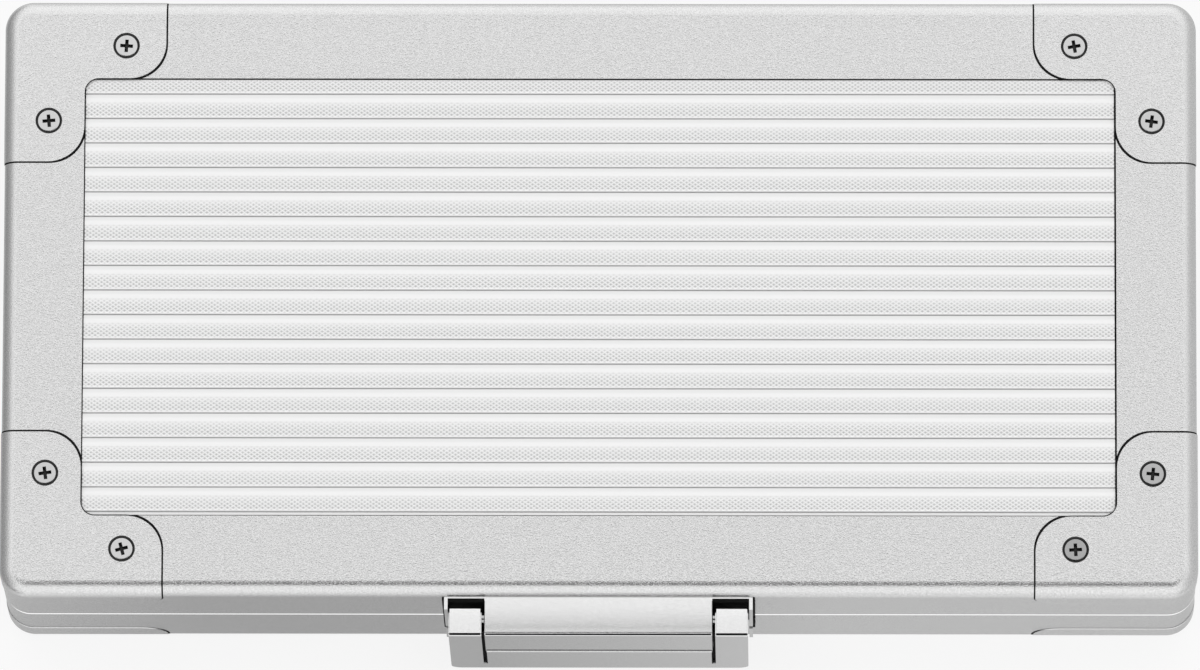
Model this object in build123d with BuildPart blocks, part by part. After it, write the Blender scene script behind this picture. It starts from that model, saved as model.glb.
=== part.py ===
from build123d import *
from collections import namedtuple
import math
import os

# A hard manicure case: two flanged aluminium frames with cast corner caps and ribbed panels,
# hinged at the back and held shut at the front by a sprung lever latch.
# Millimetres. +X is the width, the latch faces -Y, +Z is up, and the case stands on z = 0.

# ---------------------------------------------------------------- driving dimensions

# Case body
case_width = 170.0
case_depth = 86.6
base_height = 16.0
lid_height = 14.0
corner_radius = 4.0
edge_radius = 2.0
wall = 1.5
flange = 2.0
border = 11.4
opening_corner = 2.0
lid_seam_chamfer = 0.2
base_seam_chamfer = 0.35

# Standing lip inside the base's rim
lip_thickness = 0.8
lip_height = 1.4
lip_root = 2.6
lip_clearance = 0.3

# Corner caps, let into the frames
cap_arm = 23.0
cap_side_arm = 23.6
cap_thickness = 1.2
cap_skirt = 6.2
cap_skirt_thickness = 0.6
cap_end_radius = 5.2
cap_skirt_corner = 4.0
cap_proud = 0.12
cap_gap = 0.18

# Corner screws, M2 flat head, and the gussets that they bite in
screw_along = 17.3
screw_in = 6.3
screw_side_along = 17.6
screw_front_in = 6.6
screw_radius = 1.0
screw_head_radius = 1.65
screw_head_rim = 0.12
screw_sink = 0.1
screw_reach = 4.0
screw_clearance = 0.1
seat_clearance = 0.04
recess_span = 1.85
recess_width = 0.45
recess_depth = 0.8
gusset_arm = 21.5
gusset_width = 7.5
gusset_thickness = 2.2

# Ribbed panels, their backing boards and the lid's lining
panel_thickness = 0.8
panel_tuck = 2.0
panel_gap = 0.15
panel_drop = 0.25
rib_pitch = 3.585
first_groove = 2.22
groove_width = 0.26
groove_depth = 0.35
band_width = 1.1
band_drop = 0.12
lining_thickness = 1.0
lining_skirt = 0.8
lining_inset = 0.5
lining_rise = 0.5

# Tool insert
insert_thickness = 8.0
insert_clearance = 0.5
recess_floor = 2.0

# Latch
latch_width = 43.8
latch_top = 1.8
plate_thickness = 0.5
bracket_bottom = 13.5
ear_height = 1.8
ear_thickness = 0.5
axle_radius = 0.9
axle_out = 2.8
axle_down = 3.7
running_clearance = 0.05
hood_width = 32.3
hood_out = 5.45
hood_bottom = 13.1
hood_wall = 0.5
hood_fold = 0.35
cheek_thickness = 0.6
cheek_gap = 0.1
cheek_reach = 1.3
lever_out = 5.5
lever_sheet = 0.6
lever_bottom = 25.3
lever_side_gap = 0.45
lever_ear_gap = 0.15
tongue_root = 22.2
lever_hood_gap = 0.4
lever_corner = 1.6
lever_fold = 0.3
curl_turn = 230
hook_width = 30.0
hook_inner = 2.6
hook_rise = 1.9
keeper_top = 15.3
keeper_bottom = 21.5
bead_radius = 0.9
bead_out = 2.3
bead_width = 34.0
spring_wire = 0.3
spring_turns = 3.5
spring_pitch = 0.6
spring_clearance = 0.1
spring_leg = 7.0

# Rivets
rivet_radius = 0.75
rivet_head_radius = 1.3
rivet_head_height = 0.5
rivet_chamfer = 0.25
rivet_tail_height = 0.4
latch_rivet_down = 9.0
keeper_rivet_x = 12.0
keeper_rivet_down = 18.3

# Hinges
hinge_width = 24.0
hinge_inset = 37.0
hinge_leaf = 0.6
hinge_leaf_length = 9.5
hinge_leaf_corner = 1.5
hinge_axis_out = 1.5
knuckle_radius = 1.2
hinge_pin_radius = 0.6
knuckle_middle = 9.0
knuckle_gap = 0.15
leaf_seam_gap = 0.1
stop_reach = 2.3
stop_thickness = 0.6
stop_gap = 0.15
lid_opening = 100.0
hinge_rivet_x = 8.0
hinge_rivet_up = 6.2

# ---------------------------------------------------------------- derived places

case_height = base_height + lid_height
seam = base_height
hinge_proud = hinge_axis_out + stop_reach
latch_proud = lever_out
# The body is set off the origin so that the origin is under the middle of the whole case.
case_y = (latch_proud - hinge_proud) / 2
front = case_y - case_depth / 2
back = case_y + case_depth / 2
opening_width = case_width - 2 * border
opening_depth = case_depth - 2 * border
hinge_place = case_width / 2 - hinge_inset
latch_rivet_x = (hood_width / 2 + latch_width / 2 - ear_thickness) / 2

Half = namedtuple("Half", "name face into height seam_chamfer")
base = Half("base", 0.0, 1, base_height, base_seam_chamfer)
lid = Half("lid", case_height, -1, lid_height, lid_seam_chamfer)
corners = {
    "front_left": (-1, -1),
    "front_right": (1, -1),
    "back_left": (-1, 1),
    "back_right": (1, 1),
}

os.makedirs("parts", exist_ok=True)


def save(part, name):
    part.label = name
    export_step(part, f"parts/{name}.step")


def level(half, depth):
    """Plane parallel to a half's outer face, at a depth into the case."""
    return Plane((0, case_y, half.face + half.into * depth))


def toward(side):
    """Alignment of a shape that starts at one side of the case and runs to its middle."""
    return Align.MIN if side < 0 else Align.MAX


# ---------------------------------------------------------------- frames and corner caps


def outer_form(half, inset=0.0, drop=0.0):
    """A half's outer form, or the same form set in at its sides and at its face."""
    with BuildPart() as form:
        with BuildSketch(level(half, drop)):
            RectangleRounded(case_width - 2 * inset, case_depth - 2 * inset, corner_radius - inset)
        extrude(amount=half.into * (half.height - drop))
        levels = form.edges().group_by(Axis.Z)
        fillet(levels[0] if half.into > 0 else levels[-1], edge_radius - inset)
        levels = form.edges().group_by(Axis.Z)
        chamfer(levels[-1] if half.into > 0 else levels[0], half.seam_chamfer)
    return form.part


def cap_region(half, side_x, side_y, gap=0.0):
    """The room of one corner cap: its outline from above and from both sides."""
    outer_x = side_x * (case_width / 2 + cap_proud)
    outer_y = side_y * (case_depth / 2 + cap_proud)
    arm = cap_arm + cap_proud
    side_arm = cap_side_arm + cap_proud
    band = border + cap_proud
    end_x = outer_x - side_x * arm
    end_y = outer_y - side_y * side_arm
    inner_x = outer_x - side_x * band
    inner_y = outer_y - side_y * band
    reach = arm + gap
    side_reach = side_arm + gap
    drop = cap_skirt + gap
    foot = half.face + half.into * drop
    rise = Align.MIN if half.into > 0 else Align.MAX
    with BuildPart() as region:
        with BuildSketch(level(half, 0)) as plan:
            with Locations((outer_x, outer_y)):
                Rectangle(arm, band, align=(toward(side_x), toward(side_y)))
                Rectangle(band, side_arm, align=(toward(side_x), toward(side_y)))
            fillet(plan.vertices().sort_by_distance((end_x, inner_y))[0], cap_end_radius)
            fillet(plan.vertices().sort_by_distance((inner_x, end_y))[0], cap_end_radius)
            fillet(plan.vertices().sort_by_distance((inner_x, inner_y))[0], opening_corner)
            if gap > 0:
                offset(amount=gap)
        extrude(amount=half.into * drop)
        with BuildSketch(Plane.XZ) as front_view:
            with Locations((outer_x, half.face)):
                Rectangle(reach, drop, align=(toward(side_x), rise))
            corner = front_view.vertices().sort_by_distance((outer_x - side_x * reach, foot))[0]
            fillet(corner, cap_skirt_corner)
        extrude(amount=case_depth, both=True, mode=Mode.INTERSECT)
        with BuildSketch(Plane.YZ) as side_view:
            with Locations((case_y + outer_y, half.face)):
                Rectangle(side_reach, drop, align=(toward(side_y), rise))
            far = (case_y + outer_y - side_y * side_reach, foot)
            fillet(side_view.vertices().sort_by_distance(far)[0], cap_skirt_corner)
        extrude(amount=case_width, both=True, mode=Mode.INTERSECT)
    return region.part


def cap_shell(half, side_x, side_y, gap=0.0):
    """The outer skin of a half within one cap's room."""
    with BuildPart() as shell:
        add(outer_form(half, -cap_proud))
        add(outer_form(half, cap_skirt_thickness, cap_thickness), mode=Mode.SUBTRACT)
        add(cap_region(half, side_x, side_y, gap), mode=Mode.INTERSECT)
    return shell.part


def screw_places(side_x, side_y):
    """The two screws of one corner, from the middle of the case."""
    half_width = case_width / 2
    half_depth = case_depth / 2
    return [
        (side_x * (half_width - screw_along), side_y * (half_depth - screw_front_in)),
        (side_x * (half_width - screw_in), side_y * (half_depth - screw_side_along)),
    ]


def screw_seats(half, side_x, side_y):
    """Planes at the outer face, facing out, at the two screws of one corner."""
    return [
        Plane((x, case_y + y, half.face), z_dir=(0, 0, -half.into))
        for x, y in screw_places(side_x, side_y)
    ]


def corner_cap(half, side_x, side_y):
    with BuildPart() as cap:
        add(cap_shell(half, side_x, side_y))
        with Locations(*screw_seats(half, side_x, side_y)):
            CounterSinkHole(
                radius=screw_radius + screw_clearance,
                counter_sink_radius=screw_head_radius + screw_sink + screw_head_rim + seat_clearance,
                depth=2 * cap_thickness,
                counter_sink_angle=90,
            )
    return cap.part


def wall_holes(places, outward, wall_y):
    """Rivet holes through a front or back wall, for a list of (x, z) places."""
    with BuildPart() as holes:
        with BuildSketch(Plane((0, wall_y, 0), x_dir=(1, 0, 0), z_dir=(0, -1, 0))):
            with Locations(*places):
                Circle(rivet_radius)
        extrude(amount=outward * wall, both=True)
    return holes.part


def frame(half):
    with BuildPart() as ring:
        add(outer_form(half))
        with BuildSketch(level(half, flange)):
            RectangleRounded(case_width - 2 * wall, case_depth - 2 * wall, corner_radius - wall)
        extrude(amount=half.into * (half.height - flange), mode=Mode.SUBTRACT)
        with BuildSketch(level(half, 0)):
            RectangleRounded(opening_width, opening_depth, opening_corner)
        extrude(amount=half.into * flange, mode=Mode.SUBTRACT)
        if half is base:
            lip_inset = wall + lip_clearance
            with BuildSketch(level(half, half.height - lip_root)):
                RectangleRounded(case_width - wall, case_depth - wall, corner_radius - wall / 2)
                RectangleRounded(
                    case_width - 2 * (lip_inset + lip_thickness),
                    case_depth - 2 * (lip_inset + lip_thickness),
                    corner_radius - lip_inset - lip_thickness,
                    mode=Mode.SUBTRACT,
                )
            extrude(amount=half.into * lip_root)
            with BuildSketch(level(half, half.height)):
                RectangleRounded(
                    case_width - 2 * lip_inset, case_depth - 2 * lip_inset, corner_radius - lip_inset
                )
                RectangleRounded(
                    case_width - 2 * (lip_inset + lip_thickness),
                    case_depth - 2 * (lip_inset + lip_thickness),
                    corner_radius - lip_inset - lip_thickness,
                    mode=Mode.SUBTRACT,
                )
            extrude(amount=half.into * lip_height)
        for side_x, side_y in corners.values():
            add(cap_shell(half, side_x, side_y, cap_gap), mode=Mode.SUBTRACT)
            with Locations(*screw_seats(half, side_x, side_y)):
                Hole(radius=screw_radius + screw_clearance, depth=flange + screw_sink)
        front_places, back_places = rivet_places(half)
        add(wall_holes(front_places, 1, front), mode=Mode.SUBTRACT)
        add(wall_holes(back_places, 1, back), mode=Mode.SUBTRACT)
    return ring.part


# ---------------------------------------------------------------- screws and gussets


def corner_screws(half):
    cone_height = screw_head_radius - screw_radius
    with BuildPart() as screws:
        for side_x, side_y in corners.values():
            places = screw_places(side_x, side_y)
            with BuildSketch(level(half, screw_sink)):
                with Locations(*places):
                    Circle(screw_head_radius)
            extrude(amount=half.into * screw_head_rim)
            with BuildSketch(level(half, screw_sink + screw_head_rim)):
                with Locations(*places):
                    Circle(screw_head_radius)
            extrude(amount=half.into * cone_height, taper=45)
            with BuildSketch(level(half, screw_sink + screw_head_rim + cone_height / 2)):
                with Locations(*places):
                    Circle(screw_radius)
            extrude(amount=half.into * (screw_reach - screw_head_rim - cone_height / 2 - screw_sink))
            with BuildSketch(level(half, screw_sink)):
                with Locations(*places):
                    Rectangle(recess_span, recess_width)
                    Rectangle(recess_width, recess_span)
            extrude(amount=half.into * recess_depth, mode=Mode.SUBTRACT)
    return screws.part


def gusset(half, side_x, side_y):
    """Inner corner plate, under the flange, with a tapped hole for each screw."""
    outer_x = side_x * (case_width / 2 - wall)
    outer_y = side_y * (case_depth / 2 - wall)
    arm = gusset_arm - wall
    with BuildPart() as plate:
        with BuildSketch(level(half, flange)) as plan:
            with Locations((outer_x, outer_y)):
                Rectangle(arm, gusset_width, align=(toward(side_x), toward(side_y)))
                Rectangle(gusset_width, arm, align=(toward(side_x), toward(side_y)))
            fillet(plan.vertices().sort_by_distance((outer_x, outer_y))[0], corner_radius - wall)
        extrude(amount=half.into * gusset_thickness)
        with BuildSketch(level(half, flange)):
            with Locations(*screw_places(side_x, side_y)):
                Circle(screw_radius)
        extrude(amount=half.into * gusset_thickness, mode=Mode.SUBTRACT)
    return plate.part


# ---------------------------------------------------------------- panels, boards and lining


def ribbed_panel(half):
    """Panel whose edge lies under the flange and whose ribs stand up in the opening."""
    top = half.face + half.into * panel_drop
    with BuildPart() as panel:
        with BuildSketch(level(half, flange)):
            RectangleRounded(
                opening_width + 2 * panel_tuck, opening_depth + 2 * panel_tuck, opening_corner
            )
        extrude(amount=half.into * panel_thickness)
        with BuildSketch(level(half, panel_drop)):
            RectangleRounded(
                opening_width - 2 * panel_gap, opening_depth - 2 * panel_gap, opening_corner
            )
        extrude(amount=half.into * (flange - panel_drop + panel_thickness / 2))
        with BuildSketch(Plane.YZ):
            groove = case_y + opening_depth / 2 - first_groove
            while groove > case_y - opening_depth / 2 + groove_width:
                with BuildLine():
                    Polyline(
                        (groove + groove_width / 2, top),
                        (groove, top + half.into * groove_depth),
                        (groove - groove_width / 2, top + half.into * band_drop),
                        (groove - band_width, top),
                        close=True,
                    )
                make_face()
                groove -= rib_pitch
        extrude(amount=case_width / 2, both=True, mode=Mode.SUBTRACT)
    return panel.part


def backing_board(half):
    with BuildPart() as board:
        with BuildSketch(level(half, flange + panel_thickness)):
            RectangleRounded(
                opening_width + 2 * panel_tuck, opening_depth + 2 * panel_tuck, opening_corner
            )
        extrude(amount=half.into * (gusset_thickness - panel_thickness))
    return board.part


def lining():
    """Lining tray in the lid: a board over the backing and a skirt down to the base's lip."""
    inset = wall + lining_inset
    depth = flange + gusset_thickness
    skirt_end = lid_height - lip_height - lining_rise
    with BuildPart() as tray:
        with BuildSketch(level(lid, depth)):
            RectangleRounded(case_width - 2 * inset, case_depth - 2 * inset, corner_radius - inset)
        extrude(amount=lid.into * (skirt_end - depth))
        with BuildSketch(level(lid, depth + lining_thickness)):
            RectangleRounded(
                case_width - 2 * (inset + lining_skirt),
                case_depth - 2 * (inset + lining_skirt),
                corner_radius - inset - lining_skirt,
            )
        extrude(amount=lid.into * skirt_end, mode=Mode.SUBTRACT)
    return tray.part


# ---------------------------------------------------------------- rivets


def rivet_places(half):
    """Places (x, z) of the rivets through a half's front wall and back wall."""
    if half is lid:
        in_front = [(side * latch_rivet_x, case_height - latch_rivet_down) for side in (-1, 1)]
        height = seam + hinge_rivet_up
    else:
        in_front = [(side * keeper_rivet_x, case_height - keeper_rivet_down) for side in (-1, 1)]
        height = seam - hinge_rivet_up
    behind = [
        (side * hinge_place + end * hinge_rivet_x, height) for side in (-1, 1) for end in (-1, 1)
    ]
    return in_front, behind


def rivets(places, wall_y, facing, sheet):
    """Rivets through a sheet and its wall; facing is 1 on the front wall and -1 on the back."""
    outside = Plane.XZ.offset(facing * sheet - wall_y)
    inside = Plane.XZ.offset(-facing * wall - wall_y)
    with BuildPart() as group:
        with BuildSketch(outside):
            with Locations(*places):
                Circle(rivet_head_radius)
        extrude(amount=facing * rivet_head_height)
        rims = group.edges().filter_by(GeomType.CIRCLE).group_by(Axis.Y)
        chamfer(rims[0] if facing > 0 else rims[-1], rivet_chamfer)
        with BuildSketch(outside):
            with Locations(*places):
                Circle(rivet_radius)
        extrude(amount=-facing * (sheet + wall))
        with BuildSketch(inside):
            with Locations(*places):
                Circle(rivet_head_radius)
        extrude(amount=-facing * rivet_tail_height)
    return group.part


for half in (base, lid):
    save(frame(half), f"{half.name}_frame")
    for corner, (side_x, side_y) in corners.items():
        save(corner_cap(half, side_x, side_y), f"{half.name}_corner_{corner}")
        save(gusset(half, side_x, side_y), f"{half.name}_gusset_{corner}")
    save(corner_screws(half), f"{half.name}_corner_screws")
    save(ribbed_panel(half), f"{half.name}_panel")
    save(backing_board(half), f"{half.name}_backing")
save(lining(), "lid_lining")

# ---------------------------------------------------------------- tool insert

insert_bottom = flange + gusset_thickness
insert_top = insert_bottom + insert_thickness
insert_inset = wall + insert_clearance

# Recesses for straight tools: middle, length and width, from the middle of the case
Slot = namedtuple("Slot", "x y length width")
straight_tools = {
    "nail file": Slot(0, 33, 144, 10),
    "cuticle pusher": Slot(-8, 22, 128, 8),
    "tweezers": Slot(-26, 10.5, 100, 10),
    "nail cleaner": Slot(56, 10.5, 44, 8),
}
# Recesses for jointed tools: two grips that meet at the pivot, and a blade beyond it
Jointed = namedtuple("Jointed", "pivot_x joint_radius grip_x grip_radius tip_x blade_width")
jointed_tools = {
    "scissors": Jointed(-48, 4.5, -16, 9, -74, 9),
    "nippers": Jointed(52, 7, 12, 5.5, 72, 12),
}
jointed_y = -20.0
grip_spread = 9.0

with BuildPart() as tool_insert:
    with BuildSketch(level(base, insert_bottom)):
        RectangleRounded(
            case_width - 2 * insert_inset,
            case_depth - 2 * insert_inset,
            corner_radius - insert_inset,
        )
    extrude(amount=insert_thickness)
    floor = level(base, insert_bottom + recess_floor)
    with BuildSketch(floor):
        for slot in straight_tools.values():
            with Locations((slot.x, slot.y)):
                SlotOverall(slot.length, slot.width)
    extrude(amount=insert_thickness, mode=Mode.SUBTRACT)
    for tool in jointed_tools.values():
        for side in (-1, 1):
            with BuildSketch(floor):
                with Locations((tool.pivot_x, jointed_y)):
                    Circle(tool.joint_radius)
                with Locations((tool.grip_x, jointed_y + side * grip_spread)):
                    Circle(tool.grip_radius)
                make_hull()
            extrude(amount=insert_thickness, mode=Mode.SUBTRACT)
        blade_run = abs(tool.tip_x - tool.pivot_x)
        with BuildSketch(floor):
            with Locations(((tool.pivot_x + tool.tip_x) / 2, jointed_y)):
                SlotOverall(blade_run + tool.blade_width, tool.blade_width)
        extrude(amount=insert_thickness, mode=Mode.SUBTRACT)
save(tool_insert.part, "tool_insert")

# ---------------------------------------------------------------- latch


def latch_point(out, down):
    """A point of a latch section, seen along X: how far out of the front wall, how far down."""
    return (front - out, case_height - down)


hood_half = hood_width / 2
latch_half = latch_width / 2
arm_inner = hood_half + lever_side_gap
arm_outer = latch_half - ear_thickness - lever_ear_gap
cheek_outer = hood_half - hood_wall - cheek_gap
knuckle = axle_radius + lever_sheet
axle_point = latch_point(axle_out, axle_down)

with BuildPart() as latch_bracket:
    with BuildSketch(Plane.XZ.offset(-front)):
        with Locations((0, case_height - latch_top)):
            Rectangle(latch_width, bracket_bottom - latch_top, align=(Align.CENTER, Align.MAX))
        with Locations(*rivet_places(lid)[0]):
            Circle(rivet_radius, mode=Mode.SUBTRACT)
    extrude(amount=plate_thickness)
    with BuildSketch(Plane.XZ.offset(-front)):
        for side in (-1, 1):
            with Locations((side * (latch_half - ear_thickness / 2), case_height - latch_top)):
                Rectangle(
                    ear_thickness, bracket_bottom - latch_top, align=(Align.CENTER, Align.MAX)
                )
    extrude(amount=ear_height)
    for side in (-1, 1):
        with BuildSketch(Plane.YZ.offset(side * cheek_outer)):
            with Locations(latch_point(0, axle_down)):
                Rectangle(axle_out, 2 * cheek_reach, align=(Align.MAX, Align.CENTER))
            with Locations(axle_point):
                Circle(cheek_reach)
                Circle(axle_radius + running_clearance, mode=Mode.SUBTRACT)
        extrude(amount=-side * cheek_thickness)
save(latch_bracket.part, "latch_bracket")

with BuildPart() as latch_hood:
    with BuildSketch(Plane.YZ):
        with Locations(latch_point(plate_thickness, latch_top)):
            Rectangle(
                hood_out - plate_thickness, hood_bottom - latch_top, align=(Align.MAX, Align.MAX)
            )
    extrude(amount=hood_half, both=True)
    fold = latch_hood.edges().filter_by(Axis.X).sort_by_distance((0, *latch_point(hood_out, latch_top)))
    fillet(fold[0], hood_fold)
    with BuildSketch(Plane.YZ):
        with Locations(latch_point(0, latch_top + hood_wall)):
            Rectangle(hood_out - hood_wall, hood_bottom, align=(Align.MAX, Align.MAX))
    extrude(amount=hood_half - hood_wall, both=True, mode=Mode.SUBTRACT)
    with BuildSketch(Plane.YZ):
        with Locations(axle_point):
            Circle(axle_radius + running_clearance)
    extrude(amount=hood_half, both=True, mode=Mode.SUBTRACT)
save(latch_hood.part, "latch_hood")

with BuildPart() as latch_axle:
    with BuildSketch(Plane.YZ):
        with Locations(axle_point):
            Circle(axle_radius)
    extrude(amount=arm_outer, both=True)
save(latch_axle.part, "latch_axle")

bar_top = hood_bottom + lever_hood_gap
lever_top = axle_down - knuckle
with BuildPart() as latch_lever:
    with BuildSketch(Plane.XZ.offset(lever_out - lever_sheet - front)) as face:
        with Locations((0, case_height - lever_top)):
            Rectangle(2 * arm_outer, lever_bottom - lever_top, align=(Align.CENTER, Align.MAX))
            Rectangle(
                2 * arm_inner,
                tongue_root - lever_top,
                align=(Align.CENTER, Align.MAX),
                mode=Mode.SUBTRACT,
            )
        fillet(face.vertices().group_by(Axis.Y)[0], lever_corner)
        with Locations((0, case_height - bar_top)):
            Rectangle(hood_width, lever_bottom - bar_top, align=(Align.CENTER, Align.MAX))
    extrude(amount=lever_sheet)
    for side in (-1, 1):
        with BuildSketch(Plane.YZ.offset(side * arm_inner)):
            with BuildLine():
                curl = CenterArc(axle_point, axle_radius + lever_sheet / 2, 90, -curl_turn)
                Line(curl @ 0, latch_point(lever_out - lever_sheet / 2, lever_top + lever_sheet / 2))
            trace(line_width=lever_sheet)
        extrude(amount=side * (arm_outer - arm_inner))
    with BuildSketch(Plane.YZ):
        with BuildLine():
            hook_floor = lever_bottom - lever_sheet / 2
            Polyline(
                latch_point(lever_out - lever_sheet / 2, hook_floor),
                latch_point(hook_inner + lever_sheet / 2, hook_floor),
                latch_point(hook_inner + lever_sheet / 2, lever_bottom - hook_rise),
            )
        trace(line_width=lever_sheet)
    extrude(amount=hook_width / 2, both=True)
    fold_point = latch_point(lever_out, lever_top)
    folds = latch_lever.edges().filter_by(Axis.X)
    at_fold = folds.filter_by(lambda edge: abs((edge @ 0.5).Y - fold_point[0]) < 1e-3)
    at_fold = at_fold.filter_by(lambda edge: abs((edge @ 0.5).Z - fold_point[1]) < 1e-3)
    fillet(at_fold, lever_fold)
save(latch_lever.part, "latch_lever")

with BuildPart() as keeper:
    with BuildSketch(Plane.XZ.offset(-front)):
        with Locations((0, case_height - keeper_top)):
            Rectangle(latch_width, keeper_bottom - keeper_top, align=(Align.CENTER, Align.MAX))
        with Locations(*rivet_places(base)[0]):
            Circle(rivet_radius, mode=Mode.SUBTRACT)
    extrude(amount=plate_thickness)
    with BuildSketch(Plane.XZ.offset(-front)):
        for side in (-1, 1):
            with Locations((side * (latch_half - ear_thickness / 2), case_height - keeper_top)):
                Rectangle(
                    ear_thickness, keeper_bottom - keeper_top, align=(Align.CENTER, Align.MAX)
                )
    extrude(amount=ear_height)
    with BuildSketch(Plane.YZ):
        with Locations(latch_point(bead_out - bead_radius, keeper_bottom)):
            Circle(bead_radius)
        with Locations(latch_point(0, keeper_bottom)):
            Rectangle(bead_out - bead_radius, 2 * plate_thickness, align=(Align.MAX, Align.CENTER))
    extrude(amount=bead_width / 2, both=True)
save(keeper.part, "keeper")

save(rivets(rivet_places(lid)[0], front, 1, plate_thickness), "latch_rivets")
save(rivets(rivet_places(base)[0], front, 1, plate_thickness), "keeper_rivets")

# Torsion spring: a coil round the axle and one leg down each side of it
coil_radius = axle_radius + spring_clearance + spring_wire / 2
coil_length = spring_turns * spring_pitch
with BuildPart() as latch_spring:
    with BuildLine() as wire:
        # the helix starts above the axle, so it is turned to end in front of it and behind it
        coil = Helix(
            spring_pitch,
            coil_length,
            coil_radius,
            center=(-coil_length / 2, *axle_point),
            direction=(1, 0, 0),
            lefthand=True,
            mode=Mode.PRIVATE,
        ).rotate(Axis((0, *axle_point), (1, 0, 0)), 90)
        add(coil)
        Line(coil @ 0, coil @ 0 - (coil % 0) * spring_leg)
        Line(coil @ 1, coil @ 1 + (coil % 1) * spring_leg)
    with BuildSketch(Plane(wire.wires()[0] @ 0, z_dir=wire.wires()[0] % 0)):
        RegularPolygon(spring_wire / 2, 8)
    sweep(path=wire.wires()[0])
save(latch_spring.part, "latch_spring")

# ---------------------------------------------------------------- hinges

hinge_axis = (back + hinge_axis_out, seam)
stop_span = math.hypot(stop_reach, stop_thickness / 2)
stop_room = hinge_axis_out - hinge_leaf - stop_gap
stop_lean = math.degrees(math.asin(stop_room / stop_span) - math.atan2(stop_thickness / 2, stop_reach))
stop_angle = lid_opening - 90 - stop_lean
knuckle_edge = knuckle_middle / 2 + knuckle_gap / 2


def knuckle_spans(half, middle_x):
    """The stretches along X that one half's knuckles fill, as (start, end)."""
    if half is base:
        reach = knuckle_middle / 2 - knuckle_gap / 2
        return [(middle_x - reach, middle_x + reach)]
    return [
        (middle_x - hinge_width / 2, middle_x - knuckle_edge),
        (middle_x + knuckle_edge, middle_x + hinge_width / 2),
    ]


def hinge_leaf_part(half, side):
    middle_x = side * hinge_place
    up = -half.into
    other = lid if half is base else base
    bore = hinge_pin_radius + (running_clearance if half is base else 0)
    with BuildPart() as leaf:
        with BuildSketch(Plane.XZ.offset(-back)) as plate:
            with Locations((middle_x, seam + up * leaf_seam_gap)):
                Rectangle(
                    hinge_width,
                    hinge_leaf_length,
                    align=(Align.CENTER, Align.MIN if up > 0 else Align.MAX),
                )
            rows = plate.vertices().group_by(Axis.Y)
            fillet(rows[-1] if up > 0 else rows[0], hinge_leaf_corner)
            with Locations(*[p for p in rivet_places(half)[1] if p[0] * side > 0]):
                Circle(rivet_radius, mode=Mode.SUBTRACT)
        extrude(amount=-hinge_leaf)
        for start, end in knuckle_spans(other, middle_x):
            with BuildSketch(Plane.YZ.offset(start - knuckle_gap)):
                with Locations(hinge_axis):
                    Circle(knuckle_radius + knuckle_gap)
            extrude(amount=end - start + 2 * knuckle_gap, mode=Mode.SUBTRACT)
        for start, end in knuckle_spans(half, middle_x):
            with BuildSketch(Plane.YZ.offset(start)):
                with Locations(hinge_axis):
                    Circle(knuckle_radius)
                if half is lid:
                    with Locations(Location((*hinge_axis, 0), (0, 0, stop_angle))):
                        Rectangle(stop_reach, stop_thickness, align=(Align.MIN, Align.CENTER))
            extrude(amount=end - start)
        with BuildSketch(Plane.YZ.offset(middle_x - hinge_width)):
            with Locations(hinge_axis):
                Circle(bore)
        extrude(amount=2 * hinge_width, mode=Mode.SUBTRACT)
    return leaf.part


def hinge_pin(side):
    with BuildPart() as pin:
        with BuildSketch(Plane.YZ.offset(side * hinge_place)):
            with Locations(hinge_axis):
                Circle(hinge_pin_radius)
        extrude(amount=hinge_width / 2, both=True)
    return pin.part


for side, hand in ((-1, "left"), (1, "right")):
    for half in (lid, base):
        save(hinge_leaf_part(half, side), f"hinge_{hand}_{half.name}_leaf")
    save(hinge_pin(side), f"hinge_{hand}_pin")
for half in (lid, base):
    save(rivets(rivet_places(half)[1], back, -1, hinge_leaf), f"hinge_{half.name}_rivets")
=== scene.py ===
import math
from collections import namedtuple

import bmesh
import bpy
from mathutils import Matrix, Vector


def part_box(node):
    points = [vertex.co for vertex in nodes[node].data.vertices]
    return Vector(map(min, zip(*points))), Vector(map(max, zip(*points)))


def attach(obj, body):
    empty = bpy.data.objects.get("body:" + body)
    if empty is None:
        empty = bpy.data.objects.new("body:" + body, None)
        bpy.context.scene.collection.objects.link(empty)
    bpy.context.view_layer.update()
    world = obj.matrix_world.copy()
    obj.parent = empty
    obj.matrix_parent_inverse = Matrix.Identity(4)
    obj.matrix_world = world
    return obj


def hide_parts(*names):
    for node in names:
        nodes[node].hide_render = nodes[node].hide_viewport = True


# The looks of a hard manicure case: silver frames with corner caps, ribbed panels, a plated latch,
# two hinges, a cloth lining and a flocked insert. Lengths are in millimetres, and MM turns them
# into Blender's metres.

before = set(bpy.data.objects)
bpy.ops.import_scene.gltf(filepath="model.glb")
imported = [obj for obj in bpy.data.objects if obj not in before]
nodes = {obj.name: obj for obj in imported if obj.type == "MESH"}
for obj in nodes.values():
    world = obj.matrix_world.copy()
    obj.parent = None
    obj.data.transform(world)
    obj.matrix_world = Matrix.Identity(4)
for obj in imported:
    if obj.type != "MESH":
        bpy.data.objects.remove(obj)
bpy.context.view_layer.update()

MM = 0.001
corners = [
    ("front_left", -1, -1),
    ("front_right", 1, -1),
    ("back_left", -1, 1),
    ("back_right", 1, 1),
]
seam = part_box("lid_frame")[0].z / MM

Half = namedtuple("Half", "name face into")  # a half of the case, its outer face, the way into it
lid = Half("lid", max(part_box(f"lid_corner_{name}")[1].z for name, _, _ in corners), -1)
base = Half("base", min(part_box(f"base_corner_{name}")[0].z for name, _, _ in corners), 1)

# ---------------------------------------------------------------- camera

picture_width = 1200  # pixels
picture_scale = 7.027  # pixels for a millimetre of the lid's top
camera_distance = 2300 * MM
front_lean = math.radians(12.48)
side_lean = math.radians(0.70)
roll = math.radians(0.21)
aim = Vector((0.12, -4.745, 30.0)) * MM


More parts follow.
